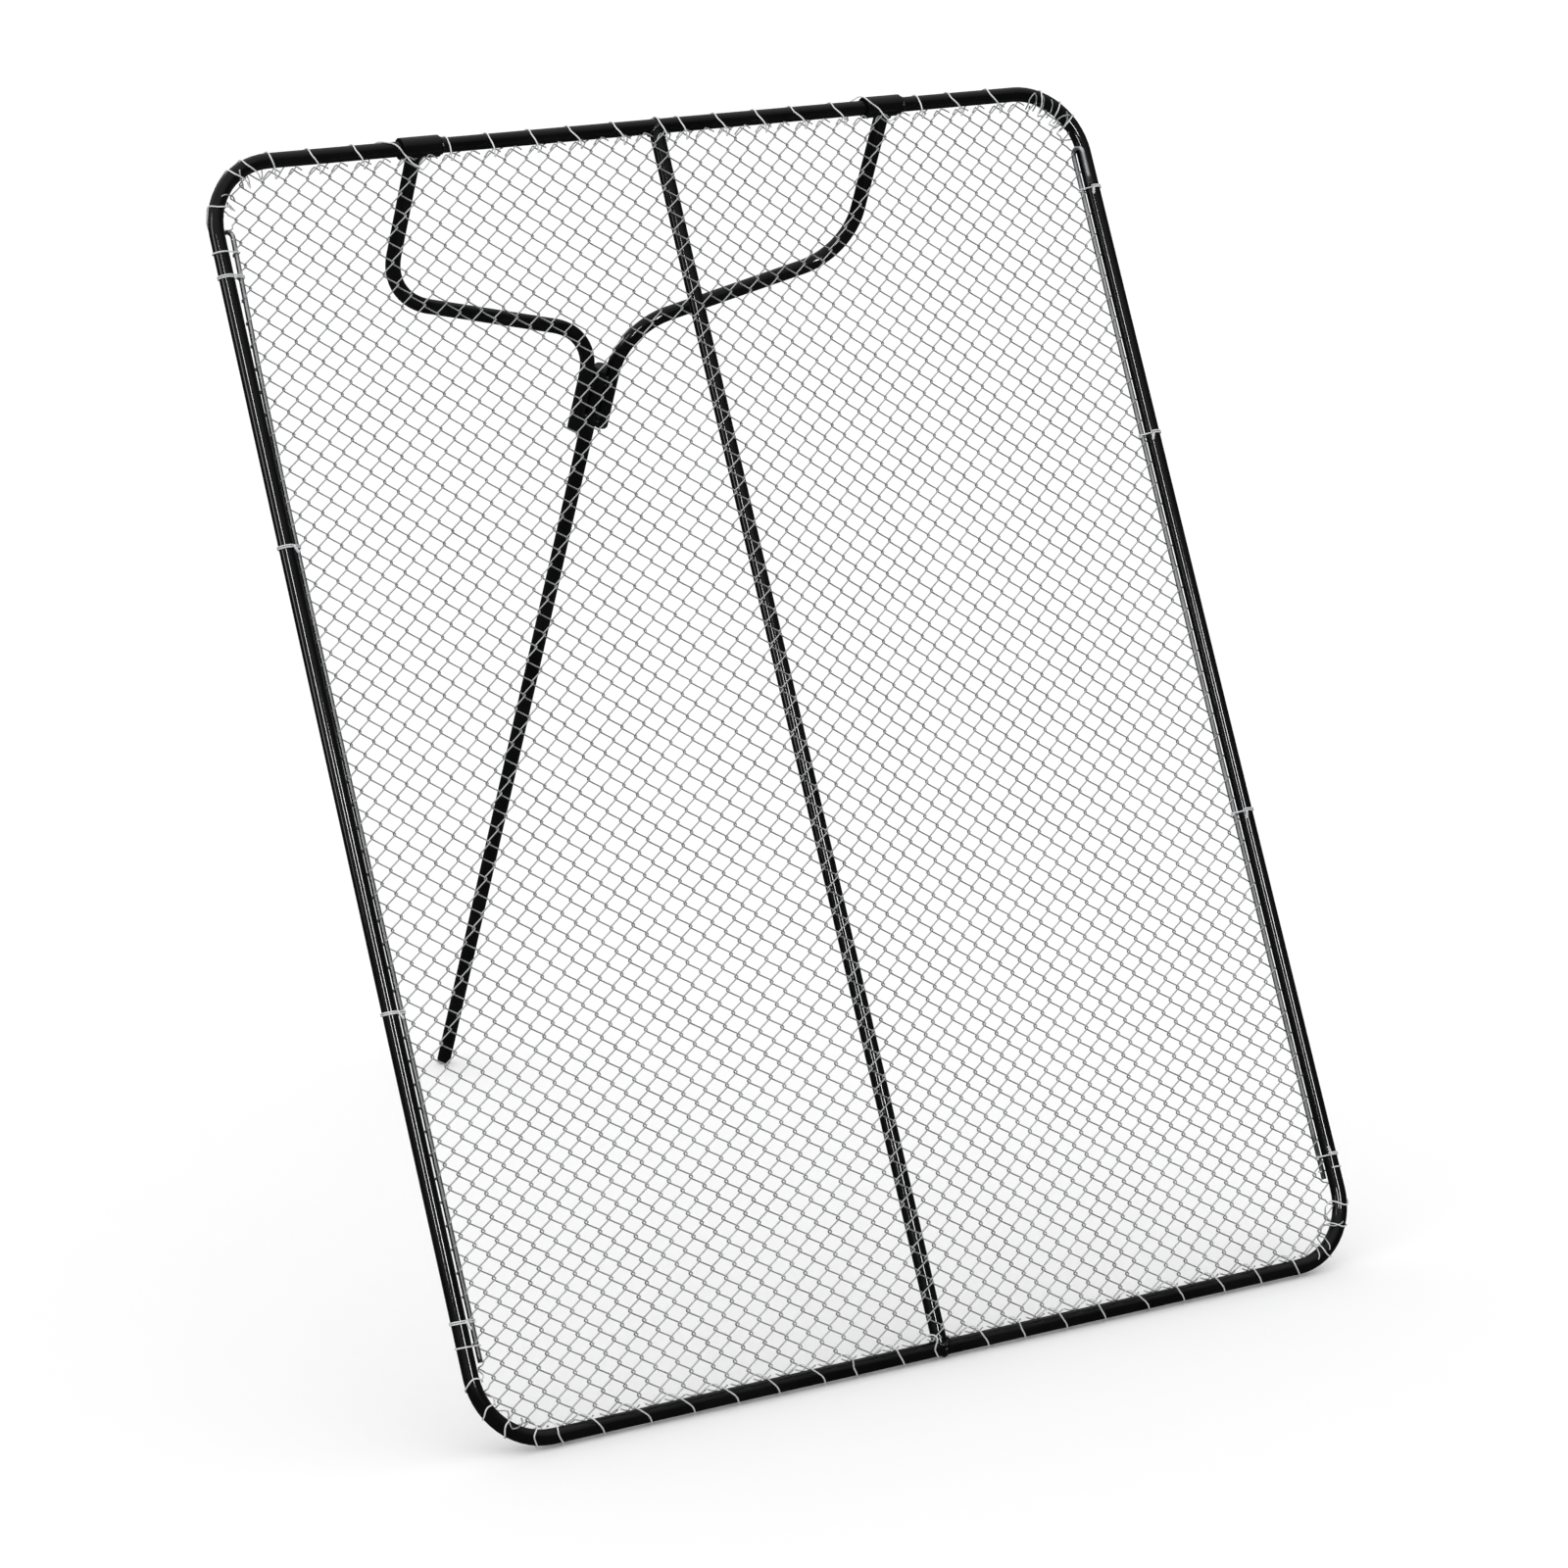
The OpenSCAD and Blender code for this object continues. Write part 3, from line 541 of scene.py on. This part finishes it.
def tie(side, v, turns, tail_way, length=7.0):
    """A tie at the height v, and its twisted tail where tail_way says which way it points."""
    sign = -1 if side == "left" else 1
    loop = belt(sign, abs(rod_at(sign, v)), ROUND_RAIL, ROUND_ROD, turns, v, TIE_PITCH)
    swept = [sweep(panel(*loop.T), WIRE_R / 1000, lean((0.05, 1, 0.02)), sides=8)]
    if tail_way is not None:
        about = lean(np.cross(tail_way, (0.3, 0.2, 1.0)))
        ends = tail((sign * (RAIL_X - 3.0), v, 7.1), tail_way, length)
        swept += [sweep(panel(*end.T), WIRE_R / 1000, about, sides=8) for end in ends]
    return swept


ties = {
    "left": [(406, 2, None), (425, 1, None), (194, 2, (0.4, -1, 0.1)), (-165, 2, (0.6, -1, 0.1)),
             (-398.5, 2, (0.3, -1, 0.2)), (-417, 1, None)],
    "right": [(408, 2, (-0.4, -1, 0.2)), (196, 2, (-0.5, -1, 0.1)), (-125, 2, (-0.3, -1, 0.1)),
              (-412, 2, (-0.3, 1, 0.2)), (-423, 1, None)],
}
for side, rows in ties.items():
    parts = [part for v, turns, way in rows for part in tie(side, v, turns, way)]
    make_piece(f"ties_{side}", parts, wire_zinc,
               stands_for=(f"rod_ties_{side}",))

# %% [markdown]
# ## The lacing
# One long wire sews the net to each rail: over the front, through the net's edge, and up behind
# in a long slant to the next stitch. By hand no two stitches fall alike, so each one has its own
# place along the rail. The path is written as three numbers: distance along the rail, angle round
# it, and distance from its middle. A smooth curve runs through seven or eight such knots a stitch.

# %% Follow the rails
HALF, TURN = RAIL_X - BEND_R, BEND_R * math.pi / 2


def rail(s, top):
    """Axis and outward direction of a rail, by the distance s from its middle, which goes on
    round its corners: straight as far as HALF, then on a circle of radius BEND_R, then straight."""
    side, past = np.sign(s), np.abs(s) - HALF
    angle = np.clip(past, 0, TURN) / BEND_R
    beyond = np.clip(past - TURN, 0, None)
    u = side * (np.minimum(np.abs(s), HALF) + BEND_R * np.sin(angle))
    v = TOP_V - BEND_R * (1 - np.cos(angle)) - beyond
    return u, top * v, side * np.sin(angle), top * np.cos(angle)


def lace(knots, top):
    """Path of a lacing wire: from the axis outwards by r * cos(angle) and forwards by
    r * sin(angle). The rail's own direction is what the section keeps square to."""
    s, angle, r = smooth(knots, 7).T
    angle = np.radians(angle)
    u, v, out_u, out_v = rail(s, top)
    path = panel(u + r * np.cos(angle) * out_u, v + r * np.cos(angle) * out_v, r * np.sin(angle))
    along = np.stack([out_v, -out_u, 0 * s], 1)
    return path, np.stack([lean(row) for row in along])


def knot(s, out, forward, lap=0):
    """A knot given by its distances out of the rail's axis and forward of it."""
    return s, lap + math.degrees(math.atan2(forward, out)) % 360, math.hypot(out, forward)


def stitches(places, points, lead, loop, rail_side):
    """Knots of a running stitch. Each place gives where the strand comes over the rail and
    where it leaves it again. lead gives its knots over the rail, as (along, angle, distance).
    It then loops the nearest point of the net's edge, by the steps of (along, out, forward of
    the net) in loop, and goes on behind to the next place."""
    knots = []
    for i, (start, end) in enumerate(places):
        lap = 360 * i
        way = math.copysign(1, end - start)
        knots += [(start + way * on, lap + angle, r) for on, angle, r in lead]
        near = points[np.argmin(np.abs(points - end + 4))] if abs(end) < HALF else end - way
        net = float(cloth(rail(near, rail_side)[0]))
        knots += [knot(near + way * on, out, net + ahead, lap) for on, out, ahead in loop]
        if i + 1 < len(places):
            knots.append(((knots[-1][0] + places[i + 1][0]) / 2, lap + 280, 6.9))
    return knots


# %% Lace the top rail
points = drape(np.arange(-40, 42, 2) * CELL_W / 2, TOP_ROW * CELL_H / 2)[0]
top_lead = [(-9, -42, 7.0), (1, -12, 6.85), (1.6, 88, 6.9)]
top_loop = [(1.4, -10.4, 2.4), (1.6, -15.0, 0.4), (7.0, -11.2, -3.8), (11.5, -7.0, -8.5)]
before = [(-406, -399), (-375, -367), (-362, -353), (-341, -329), (-307, -294), (-269, -258)]
between = [(-189, -183), (-153, -147), (-116, -109), (-81, -70), (-41, -31), (-1, 8), (18, 26),
           (52, 63), (89, 97), (123, 134), (161, 171)]
after = [(242, 250), (273, 288), (311, 324), (361, 366), (379, 383), (393, 397)]
left_sleeve = [(-243, 20, 6.85), (-235.2, 62, 7.0), (-230.4, 108, 9.3), (-227.6, 132, 10.6),
               knot(-224.5, -14.5, 10.4), knot(-219, -18.6, 10.2), knot(-215.6, -20.4, 8.4),
               knot(-210.5, -17.0, 7.6), knot(-205.8, -12.6, 6.2), knot(-202.5, -9.0, 0.5),
               knot(-198.5, -6.6, -4.0)]
right_sleeve = [(184, -19, 6.9), (190.6, 0, 9.2), (194.8, 70, 9.3), (200.8, 106, 9.4),
                knot(204.4, -10.0, 10.4), knot(207.3, -13.6, 10.0), knot(210.5, -15.4, 8.4),
                knot(216, -13.0, 7.8), knot(221.8, -9.8, 6.4), knot(225.2, -7.4, -1.5)]
knots, lap = [(-424, -85, 6.9)], 0
for stretch in (before, left_sleeve, between, right_sleeve, after):
    if len(stretch[0]) == 2:
        stretch = stitches(stretch, points, top_lead, top_loop, 1)
    knots += [(s, angle + lap, r) for s, angle, r in stretch]
    lap = 360 * math.ceil(knots[-1][1] / 360)
    knots.append((knots[-1][0] + 4, lap - 80, 7.0))
seam_rise = [0.9 * math.exp(-((s - 2) / 7) ** 2) for s, angle, r in knots]
path, along = lace([(s, angle, r + up) for (s, angle, r), up in zip(knots, seam_rise)], 1)
make_piece("lacing_wire_top", [sweep(path, WIRE_R / 1000, along, sides=8)], wire_zinc,
           stands_for=("lacing_top", "corner_lacing_top_left", "corner_lacing_top_right"))

# %% Lace the bottom rail
points = drape(np.arange(-41, 43, 2) * CELL_W / 2, BOTTOM_ROW * CELL_H / 2)[0]
low_lead = [(1, 15, 6.85), (5.5, 88, 6.9)]
low_loop = [(-1.2, -8.2, 2.6), (4.0, -11.6, 0.2), (9.5, -9.0, -4.4), (12.5, -7.0, -8.0)]
bottom_places = [(416, 412), (398, 390), (370, 364), (338, 333), (301, 295), (265, 258),
                 (226, 218), (192, 184), (151, 144), (115, 108), (76, 70), (42, 35), (-4, -7),
                 (-35, -42), (-77, -82), (-106, -115), (-146, -153), (-182, -189), (-220, -227),
                 (-257, -264), (-297, -302), (-332, -339), (-352, -356), (-376, -381),
                 (-395, -399), (-418, -422)]
path, along = lace([(425, -85, 6.9)] + stitches(bottom_places, points, low_lead, low_loop, -1), -1)
make_piece("lacing_wire_bottom", [sweep(path, WIRE_R / 1000, along, sides=8)], wire_zinc,
           stands_for=("lacing_bottom", "corner_lacing_bottom_left", "corner_lacing_bottom_right"))

# %% [markdown]
# ## Weld beads
# A hand-laid bead is a row of overlapping puddles. A round section carried along the joint, whose
# radius swells and shrinks every few millimetres, gives that ripple. The joint between two tubes
# that meet like a T is the saddle where one cylinder enters the other.

# %% Lay the beads
# Sleeves and arms: a sleeve's radius, the places of sleeve and arm across, and the stop ring's step.
# Then the leg's beads, across and off the leg, their length, and where the frame's seam lies
SLEEVE_R, SLEEVE_X, ARM_X, STOP_AT = 8.6, 210.5, 213.5, 18.8
BEAD_X, BEAD_N, BEAD_LONG, SEAM_U = 6.15, 3.6, 13.0, 1.5


def stand(x, s, n):
    """Stand points: s down the leg from the hinge's axis, n off it to the rear, to metres."""
    x, s, n = np.broadcast_arrays(x, s, n)
    y = HINGE_Y + s * math.cos(DROP) + n * math.sin(DROP)
    z = HINGE_Z - s * math.sin(DROP) + n * math.cos(DROP)
    return np.stack([x, y, z], -1) / 1000


def ripple(count, length, size):
    """Radius along a bead: size, with a puddle every 2.6 mm and a little chance."""
    t = np.linspace(0, length, count, endpoint=False)
    puddles = np.abs(np.sin(math.pi * t / 2.6)) ** 0.7
    return size * (0.84 + 0.22 * puddles + 0.05 * dice.standard_normal(count))


def saddle(main_r, size, lift):
    """Joint of a tube of radius TUBE_R that leaves one of radius main_r:
    x = q cos t, z = q sin t, y = sqrt(main_r ** 2 - z ** 2), on a circle of radius q."""
    t = np.linspace(0, math.tau, 120, endpoint=False)
    q = TUBE_R + lift
    x, z = q * np.cos(t), q * np.sin(t)
    y = np.sqrt(np.clip(main_r ** 2 - z ** 2, 0, None) + 2.0)
    return x, y, z, ripple(120, 44, size) / 1000


x, y, z, r = saddle(TUBE_R, 1.9, 0.3)
for name, sign in (("top", 1), ("bottom", -1)):
    path = panel(x, sign * (TOP_V - y), z)
    make_piece(f"post_bead_{name}", [sweep(path, r, lean((0, 1, 0)), 10, True)], weld_coat,
               stands_for=(f"post_weld_{name}",))
    turn = np.linspace(0, math.tau, 72, endpoint=False)
    seam = panel(SEAM_U, sign * TOP_V + 5.6 * np.cos(turn), 5.6 * np.sin(turn))
    make_piece(f"seam_bead_{name}", [sweep(seam, ripple(72, 38, 1.75) / 1000, lean((1, 0, 0)),
                                           10, True)],
               weld_coat, stands_for=(f"frame_seam_{name}",))
x, y, z, r = saddle(SLEEVE_R, 1.7, 0.2)
for name, side in (("left", -1), ("right", 1)):
    path = stand(side * ARM_X + x, y, z)
    axis = np.array([0, math.cos(DROP), -math.sin(DROP)])
    make_piece(f"arm_bead_{name}", [sweep(path, r, axis, 10, True)], weld_coat, body="stand",
               stands_for=(f"arm_weld_{name}",))
    middle = side * SLEEVE_X + STOP_AT
    ring = panel(middle, TOP_V + 5.7 * np.cos(turn), 5.7 * np.sin(turn))
    make_piece(f"stop_bead_{name}", [sweep(ring, ripple(72, 38, 1.4) / 1000, lean((1, 0, 0)),
                                           10, True)],
               weld_coat, stands_for=(f"sleeve_stop_{name}",))
parts = []
for side in (-1, 1):
    for face in (-1, 1):
        for start in (236.5, 272.5):
            down = np.linspace(start, start + BEAD_LONG, 40)
            path = stand(side * BEAD_X, down, face * BEAD_N)
            ends = np.sqrt(np.clip(1.02 - np.linspace(-1, 1, 40) ** 6, 0.1, 1))
            swell = ripple(40, BEAD_LONG, 2.3) * ends
            parts.append(sweep(path, swell / 1000, (1, 0, 0), 10))
make_piece("leg_beads", parts, weld_coat, body="stand",
           stands_for=("leg_weld_beads",))

# %% [markdown]
# ## Floor and light
# The screen stands on a white floor that runs on without a horizon. A bright, even dome lights it,
# so its shadow is only the soft grey where little sky reaches the floor. Gloss and zinc need
# something to mirror: to reflections the dome is bright overhead and dark in front, and the floor is
# painted dim: glossy rays see a dark shade in place of its white, which shapes the wires.
# Three tall soft boxes draw the long bright lines on the tubes. They
# light only the coated pieces and only by reflection, or they would burn out the zinc and the floor.

# %% Floor
floor_mesh = bpy.data.meshes.new("floor")
floor_mesh.from_pydata([(-60, -60, 0), (60, -60, 0), (60, 60, 0), (-60, 60, 0)], [], [(0, 1, 2, 3)])
paper = bpy.data.materials.new("paper")
paper.use_nodes = True
sheet = paper.node_tree.nodes["Principled BSDF"]
sheet.inputs["Base Color"].default_value = (0.9, 0.9, 0.9, 1)
sheet.inputs["Roughness"].default_value = 1.0
sheet.inputs["Specular IOR Level"].default_value = 0.0
# Painted shade in reflections: glossy rays see the floor as a dark diffuse of 0.05, while camera and
# diffuse rays see its white 0.9.
dim = add(paper.node_tree, "ShaderNodeBsdfDiffuse", {"Color": (0.05, 0.05, 0.05, 1)})
mirrored = add(paper.node_tree, "ShaderNodeLightPath")
either = add(paper.node_tree, "ShaderNodeMixShader")
for start, end in ((mirrored.outputs["Is Glossy Ray"], either.inputs[0]),
                   (sheet.outputs[0], either.inputs[1]), (dim.outputs[0], either.inputs[2]),
                   (either.outputs[0], paper.node_tree.nodes["Material Output"].inputs[0])):
    paper.node_tree.links.new(start, end)
floor_mesh.materials.append(paper)
floor = bpy.data.objects.new("floor", floor_mesh)
scene.collection.objects.link(floor)
print("floor", tuple(floor.dimensions))

# %% Dome
world = bpy.data.worlds.new("dome")
world.use_nodes = True
scene.world = world
tree = world.node_tree
tree.nodes.clear()
out = add(tree, "ShaderNodeOutputWorld")
ray = add(tree, "ShaderNodeLightPath")
sky = add(tree, "ShaderNodeBackground", {"Color": (1, 1, 1, 1), "Strength": 1.16})
mirror = add(tree, "ShaderNodeBackground", {"Color": (1, 1, 1, 1)})
direction = add(tree, "ShaderNodeTexCoord")
height = add(tree, "ShaderNodeVectorMath", {1: (-0.25, 0.10, 0.96)}, operation="DOT_PRODUCT")
glow = add(tree, "ShaderNodeMapRange", {"From Min": 0.15, "From Max": 0.75, "To Min": 0.06,
                                        "To Max": 1.1})
backdrop = add(tree, "ShaderNodeBackground", {"Color": (1, 1, 1, 1), "Strength": 1.0})
gloss, seen = add(tree, "ShaderNodeMixShader"), add(tree, "ShaderNodeMixShader")
for start, end in ((direction.outputs["Generated"], height.inputs[0]),
                   (height.outputs["Value"], glow.inputs["Value"]),
                   (glow.outputs["Result"], mirror.inputs["Strength"]),
                   (ray.outputs["Is Glossy Ray"], gloss.inputs[0]), (sky.outputs[0], gloss.inputs[1]),
                   (mirror.outputs[0], gloss.inputs[2]), (ray.outputs["Is Camera Ray"], seen.inputs[0]),
                   (gloss.outputs[0], seen.inputs[1]), (backdrop.outputs[0], seen.inputs[2]),
                   (seen.outputs[0], out.inputs[0])):
    tree.links.new(start, end)
scene.view_settings.view_transform = "Standard"
print("dome", world.name)

# %% Soft boxes
coated = bpy.data.collections.new("coated")
for piece in list(scene.objects):
    if piece.type == "MESH" and piece.material_slots[0].material in (black_coat, weld_coat):
        coated.objects.link(piece)


def soft_box(name, across, rise, away, width, height, power):
    """An upright box of light, placed by its angle across from the panel's own facing, its
    height above level and its distance, and turned to the middle of the screen."""
    a, e = math.radians(across), math.radians(rise)
    way = np.array([math.sin(a) * math.cos(e), -math.cos(a) * math.cos(e), math.sin(e)])
    light = bpy.data.lights.new(name, "AREA")
    light.shape, light.size, light.size_y, light.energy = "RECTANGLE", width, height, power
    lamp = bpy.data.objects.new(name, light)
    middle = np.array([0, -0.2, 0.45])
    lamp.location = middle + way * away
    lamp.rotation_euler = (math.acos(way[2]), 0, math.atan2(way[0], -way[1]))
    scene.collection.objects.link(lamp)
    lamp.visible_camera = False
    lamp.visible_diffuse = False
    lamp.light_linking.receiver_collection = coated


soft_box("box_front", -6, 26, 3.2, 0.3, 1.0, 120)
soft_box("box_left", -50, 26, 3.2, 0.24, 1.4, 110)
soft_box("box_side", -100, 20, 3.0, 0.6, 2.0, 40)
